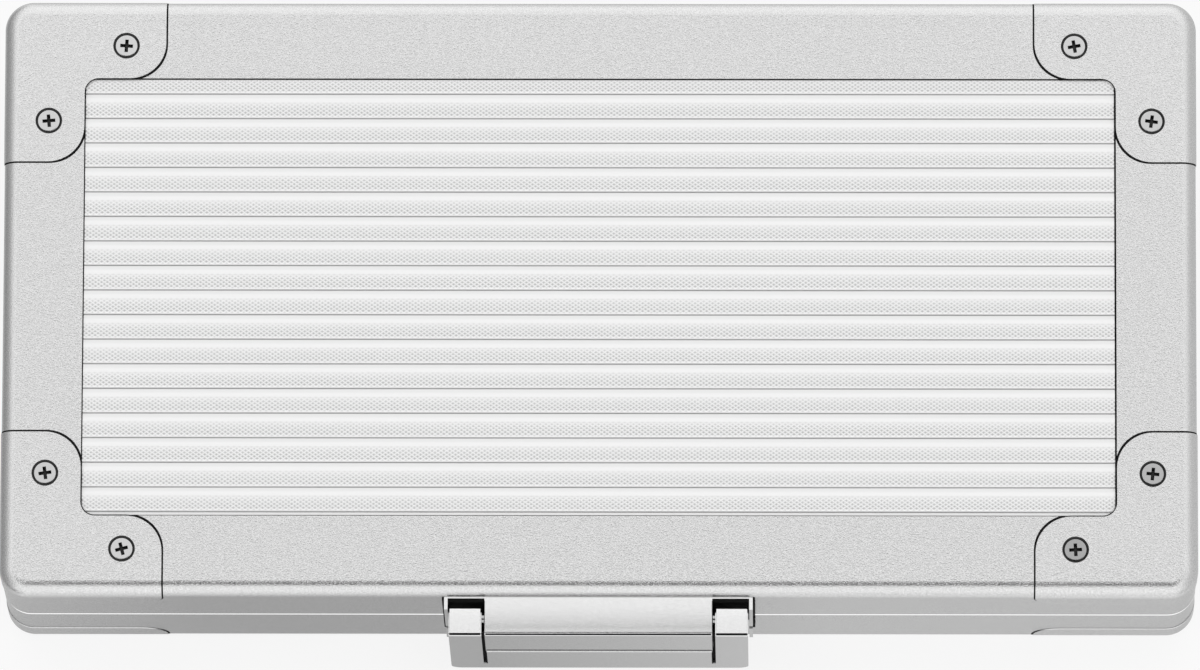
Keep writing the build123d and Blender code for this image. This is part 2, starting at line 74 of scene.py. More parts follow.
def place_camera():
    """A long lens above the lid, leaning a little to the front, as the case is pictured."""
    data = bpy.data.cameras.new("camera")
    camera = bpy.data.objects.new("camera", data)
    bpy.context.scene.collection.objects.link(camera)
    data.sensor_width = 36.0
    data.lens = data.sensor_width * camera_distance * picture_scale / (picture_width * MM)
    data.clip_end = 20.0
    away = Vector((math.sin(side_lean), -math.sin(front_lean), math.cos(front_lean))).normalized()
    right = Vector((0, 1, 0)).cross(away).normalized()
    up = away.cross(right)
    turn = Matrix((right, up, away)).transposed().to_4x4() @ Matrix.Rotation(roll, 4, "Z")
    camera.matrix_world = Matrix.Translation(aim + away * camera_distance) @ turn
    bpy.context.scene.camera = camera


# ---------------------------------------------------------------- shader nodes: helpers


def plain(name, colour, metallic=0.0, roughness=0.5):
    """A material with one shader, of one grey level."""
    material = bpy.data.materials.new(name)
    material.use_nodes = True
    shader = material.node_tree.nodes["Principled BSDF"]
    shader.inputs["Base Color"].default_value = (colour, colour, colour, 1)
    shader.inputs["Metallic"].default_value = metallic
    shader.inputs["Roughness"].default_value = roughness
    return material


def shader_of(material):
    tree = material.node_tree
    return tree, tree.nodes["Principled BSDF"]


def feed(tree, value, socket):
    """Gives a socket its value: another socket's, or a number."""
    if isinstance(value, bpy.types.NodeSocket):
        tree.links.new(value, socket)
    else:
        socket.default_value = value


def calc(tree, operation, *values):
    node = tree.nodes.new("ShaderNodeMath")
    node.operation = operation
    for value, socket in zip(values, node.inputs):
        feed(tree, value, socket)
    return node.outputs["Value"]


def remap(tree, value, low, high, to_low=0.0, to_high=1.0, curve="LINEAR"):
    stretch = tree.nodes.new("ShaderNodeMapRange")
    stretch.interpolation_type = curve
    names = ("Value", "From Min", "From Max", "To Min", "To Max")
    for name, number in zip(names, (value, low, high, to_low, to_high)):
        feed(tree, number, stretch.inputs[name])
    return stretch.outputs["Result"]


def tint(tree, factor, dark, light):
    """A colour between two, each a grey level or a colour's socket, by a factor."""
    blend = tree.nodes.new("ShaderNodeMix")
    blend.data_type = "RGBA"
    for place, colour in ((6, dark), (7, light)):
        if isinstance(colour, float):
            colour = (colour, colour, colour, 1)
        feed(tree, colour, blend.inputs[place])
    tree.links.new(factor, blend.inputs["Factor"])
    return blend.outputs[2]


def source(socket):
    """The socket that is linked to this one."""
    return socket.links[0].from_socket


def relief(tree, shader, height, depth):
    bump = tree.nodes.new("ShaderNodeBump")
    bump.inputs["Distance"].default_value = depth * MM
    tree.links.new(height, bump.inputs["Height"])
    tree.links.new(bump.outputs["Normal"], shader.inputs["Normal"])


def given(tree, name):
    """A number that the mesh gives at its points."""
    attribute = tree.nodes.new("ShaderNodeAttribute")
    attribute.attribute_name = name
    return attribute.outputs["Fac"]


def axes(tree):
    """The X, Y and Z of a place, fixed to the object."""
    place = tree.nodes.new("ShaderNodeTexCoord")
    split = tree.nodes.new("ShaderNodeSeparateXYZ")
    tree.links.new(place.outputs["Object"], split.inputs["Vector"])
    return split.outputs


def noise_of(tree, size, detail, stretch=(1, 1, 1)):
    """Noise fixed to the object, with spots about `size` millimetres across."""
    place = tree.nodes.new("ShaderNodeTexCoord")
    scale = tree.nodes.new("ShaderNodeVectorMath")
    scale.operation = "MULTIPLY"
    scale.inputs[1].default_value = [axis / (size * MM) for axis in stretch]
    tree.links.new(place.outputs["Object"], scale.inputs[0])
    noise = tree.nodes.new("ShaderNodeTexNoise")
    noise.inputs["Scale"].default_value = 1.0
    noise.inputs["Detail"].default_value = detail
    tree.links.new(scale.outputs["Vector"], noise.inputs["Vector"])
    return noise.outputs["Fac"]


def wave(tree, axis, pitch):
    """A sine from -1 to 1 along one axis, with a pitch in millimetres."""
    return calc(tree, "SINE", calc(tree, "MULTIPLY", axis, math.tau / (pitch * MM)))


# ---------------------------------------------------------------- light and floor


def towards(lean, bearing):
    """A direction `lean` degrees from straight up, towards a bearing: 0 is right, 90 the back."""
    lean, bearing = math.radians(lean), math.radians(bearing)
    level = math.sin(lean)
    return Vector((level * math.cos(bearing), level * math.sin(bearing), math.cos(lean)))


sky_level = 1.12
# Patches of the studio's surroundings: direction, where full, where faded (degrees), brightness
sky_patches = [
    (towards(85, 90), 20, 70, 1.22),
    (towards(100, 0), 10, 86, 0.68),
    (towards(102, 180), 10, 84, 0.42),
    (towards(100, -90), 20, 66, 1.16),
    (towards(12, -90), 12, 18, 0.04),
]


def light_world():
    world = bpy.data.worlds.new("studio")
    bpy.context.scene.world = world
    world.use_nodes = True
    tree = world.node_tree
    place = tree.nodes.new("ShaderNodeTexCoord")
    level = sky_level
    for direction, full, faded, brightness in sky_patches:
        facing = tree.nodes.new("ShaderNodeVectorMath")
        facing.operation = "DOT_PRODUCT"
        facing.inputs[1].default_value = direction
        tree.links.new(place.outputs["Generated"], facing.inputs[0])
        rim, core = math.cos(math.radians(faded)), math.cos(math.radians(full))
        blend = tree.nodes.new("ShaderNodeMix")
        share = remap(tree, facing.outputs["Value"], rim, core, curve="SMOOTHSTEP")
        tree.links.new(share, blend.inputs["Factor"])
        feed(tree, level, blend.inputs["A"])
        blend.inputs["B"].default_value = brightness
        level = blend.outputs["Result"]
    tree.links.new(level, tree.nodes["Background"].inputs["Color"])


floor_reach = 3.0  # metres from the middle to each side
floor_grey, floor_roughness = 0.95, 0.9
eye_glow, metal_glow = 0.80, 1.0  # shares of plain light that the eye, and metal, see in the floor
# Painted reflection: how bright metal sees the floor, darker to the left and near the case's
# front-left so that the walls reflect it darker there; by the distance from three spots, between
# two distances, the level at the nearer and at the farther; the levels are multiplied
floor_zones = [
    ((-1000.0, 0.0, 0.0), 865.0, 905.0, 0.38, 1.0),
    ((1000.0, 0.0, 0.0), 865.0, 905.0, 0.70, 1.0),
    ((-38.0, -52.0, 0.0), 22.0, 70.0, 0.72, 1.0),
]


def lay_floor():
    side = floor_reach
    mesh = bpy.data.meshes.new("floor")
    edge = [(-side, -side, 0), (side, -side, 0), (side, side, 0), (-side, side, 0)]
    mesh.from_pydata(edge, [], [(0, 1, 2, 3)])
    floor = bpy.data.objects.new("floor", mesh)
    bpy.context.scene.collection.objects.link(floor)
    white = plain("floor_white", floor_grey, roughness=floor_roughness)
    tree, shader = shader_of(white)
    ray = tree.nodes.new("ShaderNodeLightPath").outputs
    metal = calc(tree, "MAXIMUM", ray["Is Glossy Ray"], ray["Is Transmission Ray"])
    by_eye = remap(tree, ray["Is Camera Ray"], 0, 1, 0, eye_glow)
    share = calc(tree, "MAXIMUM", by_eye, remap(tree, metal, 0, 1, 0, metal_glow))
    spot = tree.nodes.new("ShaderNodeNewGeometry")
    level = metal
    for middle, near, far, near_level, far_level in floor_zones:
        away = tree.nodes.new("ShaderNodeVectorMath")
        away.operation = "DISTANCE"
        away.inputs[1].default_value = Vector(middle) * MM
        tree.links.new(spot.outputs["Position"], away.inputs[0])
        zone = remap(tree, away.outputs["Value"], near * MM, far * MM, near_level, far_level)
        level = calc(tree, "MULTIPLY", level, zone)
    glow = tree.nodes.new("ShaderNodeEmission")
    strength = calc(tree, "MAXIMUM", level, ray["Is Camera Ray"])
    tree.links.new(strength, glow.inputs["Strength"])
    blend = tree.nodes.new("ShaderNodeMixShader")
    tree.links.new(share, blend.inputs["Fac"])
    tree.links.new(shader.outputs["BSDF"], blend.inputs[1])
    tree.links.new(glow.outputs["Emission"], blend.inputs[2])
    tree.links.new(blend.outputs["Shader"], tree.nodes["Material Output"].inputs["Surface"])
    mesh.materials.append(white)


# ---------------------------------------------------------------- materials

metal_edge = 0.62  # how much of the light blasted metal returns at a grazing angle


def grained(name, dark, light, grain, depth, roughness):
    """Metal with the fine even grain of bead blasting."""
    material = plain(name, light, 1.0, roughness)
    tree, shader = shader_of(material)
    shader.inputs["Specular Tint"].default_value = (metal_edge, metal_edge, metal_edge, 1)
    spots = noise_of(tree, grain, 1.5)
    colour = tint(tree, remap(tree, spots, 0.3, 0.7), dark, light)
    tree.links.new(colour, shader.inputs["Base Color"])
    relief(tree, shader, spots, depth)
    return material


def machined_rim(material, low, high, light, roughness):
    """Bright cut metal between two heights, as on an edge turned after blasting."""
    tree, shader = shader_of(material)
    middle, half_height = (low + high) / 2 * MM, (high - low) / 2 * MM
    within = calc(tree, "COMPARE", axes(tree)["Z"], middle, half_height)
    colour = tint(tree, within, source(shader.inputs["Base Color"]), light)
    tree.links.new(colour, shader.inputs["Base Color"])
    rough = remap(tree, within, 0, 1, shader.inputs["Roughness"].default_value, roughness)
    tree.links.new(rough, shader.inputs["Roughness"])
    bump = source(shader.inputs["Normal"]).node
    tree.links.new(remap(tree, within, 0, 1, 1, 0), bump.inputs["Strength"])
    return material


def knurled(name, dip, rise, roughness, metallic):
    """The panel's silver with painted shade: darker in the dips of the knurling and the grooves, by
    the shade that the mesh gives as `relief`.
    """
    material = plain(name, rise, metallic, roughness)
    tree, shader = shader_of(material)
    tree.links.new(tint(tree, given(tree, "relief"), dip, rise), shader.inputs["Base Color"])
    relief(tree, shader, noise_of(tree, 0.5, 2.0), 0.004)
    return material


def matt(name, colour, roughness, gloss):
    """A dull dark material with faint mottling."""
    material = plain(name, colour, 0, roughness)
    tree, shader = shader_of(material)
    shader.inputs["Specular IOR Level"].default_value = gloss
    spots = noise_of(tree, 0.8, 3.0)
    tree.links.new(tint(tree, spots, colour * 0.6, colour * 1.5), shader.inputs["Base Color"])
    relief(tree, shader, spots, 0.02)
    return material


def cloth(name, light, roughness, gloss, sheen, sheen_roughness):
    """The shader that woven and flocked cloth start from."""
    material = plain(name, light, 0, roughness)
    shader = shader_of(material)[1]
    shader.inputs["Specular IOR Level"].default_value = gloss
    shader.inputs["Sheen Weight"].default_value = sheen
    shader.inputs["Sheen Roughness"].default_value = sheen_roughness
    return material


def woven(name, dark, light, pitch, depth):
    """Plain weave seen along Z: threads over and under each other, with uneven dyeing."""
    material = cloth(name, light, 0.85, 0.25, 0.25, 0.4)
    tree, shader = shader_of(material)
    place = axes(tree)
    cross = calc(tree, "MULTIPLY", wave(tree, place["X"], pitch), wave(tree, place["Y"], pitch))
    threads = remap(tree, cross, -1, 1)
    clouds = remap(tree, noise_of(tree, 6.0, 3.0), 0.3, 0.7, 0.6, 1.0)
    colour = tint(tree, calc(tree, "MULTIPLY", threads, clouds), dark, light)
    tree.links.new(colour, shader.inputs["Base Color"])
    relief(tree, shader, threads, depth)
    return material


def flocked(name, dark, light):
    """Foam covered with short soft fibres: very matt, with a little sheen and cloudy patches."""
    material = cloth(name, light, 1.0, 0.05, 0.6, 0.5)
    tree, shader = shader_of(material)
    fibres = noise_of(tree, 0.12, 1.0)
    patches = remap(tree, noise_of(tree, 9.0, 4.0), 0.35, 0.65, 0.25, 1.0)
    colour = tint(tree, calc(tree, "MULTIPLY", fibres, patches), dark, light)
    tree.links.new(colour, shader.inputs["Base Color"])
    relief(tree, shader, fibres, 0.05)
    return material


def polished(name, dark, light, roughness, smear, stretch=(1, 1, 1), edge=0.8, wave_depth=0.0):
    """Plated metal with faint polishing marks that run along the short axis of `stretch`."""
    material = plain(name, light, 1.0, roughness)
    tree, shader = shader_of(material)
    shader.inputs["Specular Tint"].default_value = (edge, edge, edge, 1)
    marks = noise_of(tree, smear, 4.0, stretch)
    tree.links.new(tint(tree, marks, dark, light), shader.inputs["Base Color"])
    rough = remap(tree, marks, 0.3, 0.7, roughness * 0.8, roughness * 1.3)
    tree.links.new(rough, shader.inputs["Roughness"])
    if wave_depth:
        relief(tree, shader, noise_of(tree, smear * 0.3, 2.0), wave_depth)
    return material


def painted_dimmed(material):
    """Painted shade: darkens a metal by the amount its mesh gives, for heads reflecting darker."""
    tree, shader = shader_of(material)
    clean = source(shader.inputs["Base Color"])
    tree.links.new(tint(tree, given(tree, "painted_dimming"), clean, 0.02), shader.inputs["Base Color"])
    return material


blasted = grained("blasted_aluminium", 0.60, 0.76, 0.18, 0.038, 0.25)
looks = {
    "frame": machined_rim(blasted, seam - 0.37, seam + 0.05, 0.97, 0.2),
    "caps": grained("blasted_cap", 0.61, 0.77, 0.17, 0.036, 0.25),
    "screws": painted_dimmed(polished("screw_nickel", 0.58, 0.74, 0.2, 0.6)),
    "gussets": grained("gusset_zinc", 0.40, 0.55, 0.6, 0.02, 0.35),
    "panel": knurled("panel_silver", 0.40, 0.97, 0.38, 0.15),
    "backing": matt("backing_board", 0.05, 0.8, 0.3),
    "lining": woven("lining_cloth", 0.012, 0.060, 0.7, 0.06),
    "insert": flocked("insert_flock", 0.012, 0.055),
    "thread": matt("sewing_thread", 0.10, 0.6, 0.3),
    "latch": polished("latch_chrome", 0.68, 0.86, 0.17, 0.25, (0.5, 1, 1), 0.60, 0.008),
    "axle": polished("axle_steel", 0.42, 0.55, 0.2, 0.8),
    "spring": polished("spring_steel", 0.40, 0.55, 0.22, 0.4),
    "rivets": polished("rivet_nickel", 0.55, 0.70, 0.2, 0.5),
    "hinge": polished("hinge_nickel", 0.56, 0.70, 0.2, 0.9, (0.1, 1, 1)),
    # painted shade: the dark line along the joints round the corner caps
    "joint": matt("joint_painted_shade", 0.010, 0.8, 0.05),
    # painted shade: the dark cross recesses and countersink rings of the screws
    "recess": plain("screw_recess_painted_shade", 0.03, 0.6, 0.45),
    # painted shade: the dark pads, strips, lines and bands on the latch
    "rubber": matt("latch_painted_shade", 0.008, 0.8, 0.05),
}


def finish_nodes():
    for node in nodes.values():
        for place, packed in enumerate(node.data.materials):
            node.data.materials[place] = looks[packed.name.split(".")[0]]


# ---------------------------------------------------------------- pieces: helpers

weld = 0.001 * MM  # points nearer than this are one


def new_piece(name, body, mesh, material):
    piece = bpy.data.objects.new(name, mesh)
    bpy.context.scene.collection.objects.link(piece)
    if material:
        mesh.materials.append(material)
    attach(piece, body)
    return piece


def shade(mesh, sharp):
    mesh.shade_smooth()
    mesh.set_sharp_from_angle(angle=math.radians(sharp))


def finished_mesh(shape, name, sharp=35):
    mesh = bpy.data.meshes.new(name)
    bmesh.ops.recalc_face_normals(shape, faces=shape.faces)
    shape.to_mesh(mesh)
    shape.free()
    shade(mesh, sharp)
    return mesh


def copy_of(node_name):
    """A CAD node's mesh to work on, with its points joined."""
    shape = bmesh.new()
    shape.from_mesh(nodes[node_name].data)
    bmesh.ops.remove_doubles(shape, verts=shape.verts, dist=weld)
    return shape


def evaluated(thing):
    """A new mesh of an object with its modifiers applied."""
    return bpy.data.meshes.new_from_object(
        thing.evaluated_get(bpy.context.evaluated_depsgraph_get())
    )


def bridge(shape, one, other):
    """Faces between two closed rows of points."""
    for k, after in enumerate([*range(1, len(one)), 0]):
        shape.faces.new((one[k], other[k], other[after], one[after]))


# ---------------------------------------------------------------- ribbed panels

rib_pitch = 3.585
first_groove = 2.22  # from the opening's back edge
opening_border = 11.4
panel_drop = 0.25
panel_under = 1.9  # from the case's face to the panel's back
panel_gap_left, panel_gap_right, panel_gap_ends = 0.16, 0.26, 0.16
panel_edge_row = ((-0.05, -0.05), (0.8, 0.8), None)  # heights, shades, and no knurling
panel_side_shade = 0.3
knurl_step = 0.415  # half of the pattern's pitch along a rib
# One rib from groove to groove: place across it, height of the low and of the high points, and
# the painted shade of each, dark in the dips and the groove
rib_profile = [
    (0.00, -0.30, -0.30, 0.12, 0.12),
    (0.10, -0.12, -0.12, 0.80, 0.80),
    (0.50, -0.08, -0.08, 0.84, 0.84),
    (0.78, -0.03, -0.03, 0.94, 0.94),
    (1.15, 0.02, 0.02, 1.0, 1.0),
    (1.36, -0.05, 0.01, 0.7, 1.0),
    (1.64, -0.09, 0.01, 0.5, 1.0),
    (1.92, -0.12, 0.01, 0.34, 1.0),
    (2.20, -0.12, 0.01, 0.26, 1.0),
    (2.48, -0.12, 0.01, 0.18, 1.0),
    (2.76, -0.12, 0.01, 0.12, 1.0),
    (3.04, -0.12, 0.01, 0.12, 1.0),
    (3.30, -0.05, 0.01, 0.5, 1.0),
    (3.42, 0.02, 0.02, 1.0, 1.0),
    (3.50, -0.12, -0.12, 0.7, 0.7),
]


def rib_rows(front, back):
    """The rows from back to front: y, two heights, two shades, and which points stand high."""
    rows = [(back, *panel_edge_row)]
    groove = back + (panel_gap_ends - first_groove + rib_pitch) * MM
    knurled_rows = 0
    while groove > front:
        for across, dip, rise, dip_shade, rise_shade in rib_profile:
            y = groove - across * MM
            if front < y < back:
                knurled_rows += rise > dip
                odd = knurled_rows % 2 if rise > dip else None
                rows.append((y, (dip, rise), (dip_shade, rise_shade), odd))
        groove -= rib_pitch * MM
    return [*rows, (front, *panel_edge_row)]


def panel_top(rows, left, right, height_of):
    """The panel's upper surface: points, their shades, and the line of points of each row."""
    columns = round((right - left) / (knurl_step * MM))
    points, shades, lines = [], [], []
    for number, (y, heights, row_shades, odd) in enumerate(rows):
        beside = rows[max(number - 1, 0) : number + 2]
        steps = columns if any(row[3] is not None for row in beside) else 1
        lines.append(range(len(points), len(points) + steps + 1))
        for step in range(steps + 1):
            up = (step + (odd or 0)) % 2
            points.append((left + (right - left) * step / steps, y, height_of(heights[up])))
            shades.append(row_shades[up])
    return points, shades, lines


def ribbed_panel(half):
    """The panel's face as the opening shows it: ribs with a plain band and a knurled band."""
    low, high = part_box(f"{half.name}_frame")
    left = low.x + (opening_border + panel_gap_left) * MM
    right = high.x - (opening_border + panel_gap_right) * MM
    end = (opening_border + panel_gap_ends) * MM
    top = half.face + half.into * panel_drop * MM
    rows = rib_rows(low.y + end, high.y - end)
    points, shades, lines = panel_top(rows, left, right, lambda up: top - half.into * up * MM)
    faces = []
    for one, other in zip(lines, lines[1:]):
        if len(one) != len(other) or len(one) == 2:
            faces.append((*one, *reversed(other)))
            continue
        for a, b, c, d in zip(one, other, other[1:], one[1:]):
            if shades[a] + shades[c] > shades[b] + shades[d]:
                faces += [(a, b, c), (a, c, d)]  # each dimple is ringed by high edges
            else:
                faces += [(a, b, d), (b, c, d)]
    between = lines[1:-1]
    rim = [*lines[0], *(line[-1] for line in between)]
    rim += [*reversed(lines[-1]), *(line[0] for line in reversed(between))]
    under = half.face + half.into * panel_under * MM
    start, count = len(points), len(rim)
    points += [(*points[at][:2], under) for at in rim]
    shades += [panel_side_shade] * count
    for k in range(count):
        after = (k + 1) % count
        faces.append((rim[k], rim[after], start + after, start + k))
    faces.append(tuple(range(start, start + count)))
    mesh = bpy.data.meshes.new(f"{half.name}_ribbed_panel")
    mesh.from_pydata(points, [], faces)
    shape = bmesh.new()
    shape.from_mesh(mesh)
    bmesh.ops.recalc_face_normals(shape, faces=shape.faces)
    shape.to_mesh(mesh)
    shape.free()
    mesh.attributes.new("relief", "FLOAT", "POINT").data.foreach_set("value", shades)
    shade(mesh, 50)
    panel = new_piece(mesh.name, half.name, mesh, looks["panel"])
    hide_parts(f"{half.name}_panel")


# ---------------------------------------------------------------- joints round the corner caps

screw_places = [(17.3, 6.6), (6.3, 17.6)]  # from the case's side and from its front or back
seat_reach = 2.5  # a screw's seat lies this near to its middle
cap_proud = 0.12
# The painted shade along a joint, a dark strip where the gap lies in shadow: above the frame, down
# into the joint, and back under the cap's edge
joint_lift, joint_deep, joint_tuck = 0.010, 0.06, 0.02
# How far the painted joint shade reaches out of a cap's edge: straight edges, the arcs' middles,
# along the panel, and the foot of the cap's skirt
joint_straight, joint_arc, joint_panel = 0.23, 0.12, 0.13
joint_foot = {"base": 0.15, "lid": 0.06}
# The bright bead that fills the corner over a base cap's foot, and the upward lean of the rim
# where it starts and where it is whole
bead_up, bead_out, bead_lift = 0.09, 0.108, 0.004
bead_start, bead_whole = 0.6, 0.9


def joint_reach(half, box, place, apart):
    """How far painted joint shade reaches from a cap's edge at one place; `apart` is the way it
    faces.
    """
    low, high = box
    if abs(apart.z) > 0.5:
        return joint_foot[half.name]
    from_x = min(place.x - low.x, high.x - place.x) / MM - opening_border
    from_y = min(place.y - low.y, high.y - place.y) / MM - opening_border
    if abs(from_x) < 0.08 or abs(from_y) < 0.08 or (from_x > 0 and from_y > 0):
        return joint_panel
    return joint_straight + joint_arc * 2 * abs(apart.x * apart.y)


def face_kind(face, half, side_x, side_y):
    """Whether a cap's face looks out of the case, apart across the joint, or neither."""
    x, y, z = face.normal.x * side_x, face.normal.y * side_y, -face.normal.z * half.into
    if z < -0.9 or (min(x, y) < -0.1 and z < 0.3):
        return "apart"
    return "out" if max(x, y, z) > 0.1 else "none"


def joint_sections(half, box, point, kinds):
    """The sections of the painted joint shade and of the bright bead at one point of a cap's rim.
    """
    out, apart = (
        sum((face.normal for face in point.link_faces if kinds[face] == kind), Vector())
        for kind in ("out", "apart")
    )
    out.normalize()
    apart.normalize()
    reach = joint_reach(half, box, point.co, apart)
    level = point.co - out * (cap_proud * (1 - abs(out.z)) - joint_lift) * MM
    joint_shade = [(-joint_tuck, 0), (reach, 0), (reach, -joint_deep), (-joint_tuck, -joint_deep)]
    bead = []
    share = min((apart.z - bead_start) / (bead_whole - bead_start), 1)
    if half is base and share > 0.02:
        up, proud = bead_up * share, bead_out * share
        bead = [(-joint_tuck, 0), (0, proud), (up, bead_lift), (up, -joint_deep)]
        bead.append((-joint_tuck, -joint_deep))
    return [[level + (apart * a + out * b) * MM for a, b in section] for section in (joint_shade, bead)]


def cap_joint_shades(half):
    """The dark line round each cap: painted shade of the joint's gap, just proud of the frame,
    lower than the cap. On the base a bright bead lies over it at the foot."""
    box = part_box(f"{half.name}_frame")
    shapes = [bmesh.new(), bmesh.new()]
    for name, side_x, side_y in corners:
        cap = copy_of(f"{half.name}_corner_{name}")
        cap.normal_update()
        kinds = {face: face_kind(face, half, side_x, side_y) for face in cap.faces}
        edge_x, edge_y = box[side_x > 0].x, box[side_y > 0].y
        seats = [
            Vector((edge_x - side_x * x * MM, edge_y - side_y * y * MM)) for x, y in screw_places
        ]
        rows = [{}, {}]
        for edge in cap.edges:
            middle = (edge.verts[0].co + edge.verts[1].co) / 2
            at_seat = min((middle.xy - seat).length for seat in seats) < seat_reach * MM
            if at_seat or {kinds[face] for face in edge.link_faces} != {"apart", "out"}:
                continue
            for point in edge.verts:
                if point not in rows[0]:
                    sections = joint_sections(half, box, point, kinds)
                    for shape, row, section in zip(shapes, rows, sections):
                        row[point] = [shape.verts.new(place) for place in section]
            for shape, row in zip(shapes, rows):
                one, other = (row[point] for point in edge.verts)
                if one and other:
                    bridge(shape, one, other)
        cap.free()
    joint_shade, bright = shapes
    joints = finished_mesh(joint_shade, f"{half.name}_cap_joints", 80)
    new_piece(joints.name, half.name, joints, looks["joint"])
    if bright.faces:
        beads = finished_mesh(bright, f"{half.name}_cap_beads", 30)
        new_piece(beads.name, half.name, beads, looks["caps"])


# ---------------------------------------------------------------- corner screws

head_radius = 1.60
head_sink = 0.14
# A screw's section, as (radius, height): a flat head with a rounded rim, its cone and its shank
screw_section = [
    (0, 0),
    (head_radius - 0.16, 0),
    (head_radius - 0.06, -0.02),
    (head_radius, -0.09),
    (head_radius, -0.22),
    (0.95, -0.95),
    (0.95, -3.6),
    (0, -3.6),
]
seat_radius = 1.87
# Painted shade: a dark ring in the countersink round the head, where the seat lies in shadow
shade_ring_section = [
    (seat_radius, 0.135),
    (seat_radius - 0.28, -0.13),
    (seat_radius - 0.28, -0.3),
    (seat_radius + 0.04, 0.10),
]
# The cross recess: half its span and half its slot's width at the top, its depth, and how much
# narrower it is at the bottom
recess_span, recess_wide, recess_deep, recess_narrow = 1.00, 0.27, 0.75, 0.6
turning_steps = 40
screw_turns = [15, 8, 3, -6, -4, 5, 10, -8]  # degrees
# Painted shade: how much darker each screw head is drawn, where it reflects darker surroundings
screw_painted_dimming = [0.11, 0.15, 0.44, 0.35, 0.09, 0.11, 0.11, 0.17]


def turned(shape, section, closed):
    """Adds a section of (radius, height), turned about the upright axis."""
    ring = [shape.verts.new((radius * MM, 0, height * MM)) for radius, height in section]
    ends = ring[1:] + ring[:1] if closed else ring[1:]
    edges = [shape.edges.new(pair) for pair in zip(ring, ends)]
    bmesh.ops.spin(
        shape,
        geom=ring + edges,
        cent=(0, 0, 0),
        axis=(0, 0, 1),
        angle=math.tau,
        steps=turning_steps,
    )


def recess_cutter():
    """A tapered cross that cuts the recess into a screw's head."""
    cutter = bmesh.new()
    outline = [(recess_wide, recess_span), (recess_wide, recess_wide), (recess_span, recess_wide)]
    outline += [(y, -x) for x, y in outline]
    outline += [(-x, -y) for x, y in outline]
    above = [cutter.verts.new((x * MM, y * MM, 0.2 * MM)) for x, y in outline]
    below = [
        cutter.verts.new((x * recess_narrow * MM, y * recess_narrow * MM, -recess_deep * MM))
        for x, y in outline
    ]
    cutter.faces.new(above)
    cutter.faces.new(reversed(below))
    bridge(cutter, above, below)
    return cutter


def raw_object(shape, name, *materials):
    """An object to cut with or to be cut, of a shape with its faces turned outwards."""
    bmesh.ops.recalc_face_normals(shape, faces=shape.faces)
    mesh = bpy.data.meshes.new(name)
    shape.to_mesh(mesh)
    shape.free()
    for material in materials:
        mesh.materials.append(material)
    thing = bpy.data.objects.new(name, mesh)
    bpy.context.scene.collection.objects.link(thing)
    return thing


def screw_shape():
    """One screw, pointing down from the origin, in the painted dark ring of its seat."""
    body = bmesh.new()
    turned(body, screw_section, closed=False)
    bmesh.ops.remove_doubles(body, verts=body.verts, dist=weld)
    # The cross recess and the seat's ring take the dark recess material: painted shade.
    screw = raw_object(body, "screw", looks["screws"], looks["recess"])
    cutter = raw_object(recess_cutter(), "screw_cutter", looks["recess"])
    cut = screw.modifiers.new("recess", "BOOLEAN")
    cut.object = cutter
    cut.solver = "EXACT"
    cut.material_mode = "TRANSFER"
    result = evaluated(screw)
    for each in (screw, cutter):
        bpy.data.objects.remove(each)
    whole = bmesh.new()
    whole.from_mesh(result)
    screw_faces = set(whole.faces)
    turned(whole, shade_ring_section, closed=True)
    for face in whole.faces:
        if face not in screw_faces:
            face.material_index = 1
    bmesh.ops.remove_doubles(whole, verts=whole.verts, dist=weld / 2)
    whole.to_mesh(result)
    whole.free()
    return result


def corner_screws(half):
    one = screw_shape()
    low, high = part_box(f"{half.name}_frame")
    level = half.face + half.into * head_sink * MM
    flip = Matrix.Rotation(math.pi if half is base else 0, 4, "X")
    shape = bmesh.new()
    shape.verts.layers.float.new("painted_dimming")
    number = 0
    for _, side_x, side_y in corners:
        edge_x = high.x if side_x > 0 else low.x
        edge_y = high.y if side_y > 0 else low.y
        for along_x, along_y in screw_places:
            place = (edge_x - side_x * along_x * MM, edge_y - side_y * along_y * MM, level)
            spin = Matrix.Rotation(math.radians(screw_turns[number]), 4, "Z")
            copy = one.copy()
            copy.transform(Matrix.Translation(place) @ flip @ spin)
            known = len(shape.verts)
            shape.from_mesh(copy)
            bpy.data.meshes.remove(copy)
            painted_dimming = shape.verts.layers.float["painted_dimming"]
            shape.verts.ensure_lookup_table()
            for point in shape.verts[known:]:
                point[painted_dimming] = screw_painted_dimming[number]
            number += 1
    mesh = bpy.data.meshes.new(f"{half.name}_screws")
    shape.to_mesh(mesh)
    shape.free()
    mesh.materials.append(looks["screws"])
    mesh.materials.append(looks["recess"])
    shade(mesh, 35)
    for face in mesh.polygons:
        face.use_smooth = abs(face.normal.z) < 0.999
    screws = new_piece(mesh.name, half.name, mesh, None)
    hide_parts(f"{half.name}_corner_screws")


# ---------------------------------------------------------------- latch details

# Places on the latch are (from the middle, out of the front wall, down from the lid's top)
wall_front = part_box("lid_frame")[0].y
hood_half, hood_out, hood_fold, hood_top, hood_bottom = 16.15, 5.45, 0.35, 1.8, 13.1
arm_inner, arm_outer, arm_top, arm_fold = 16.6, 21.25, 2.2, 0.3
ear_inner, ear_outer = 21.4, 21.9
lever_out = 5.5
tongue_top, slit_end = 13.5, 22.2

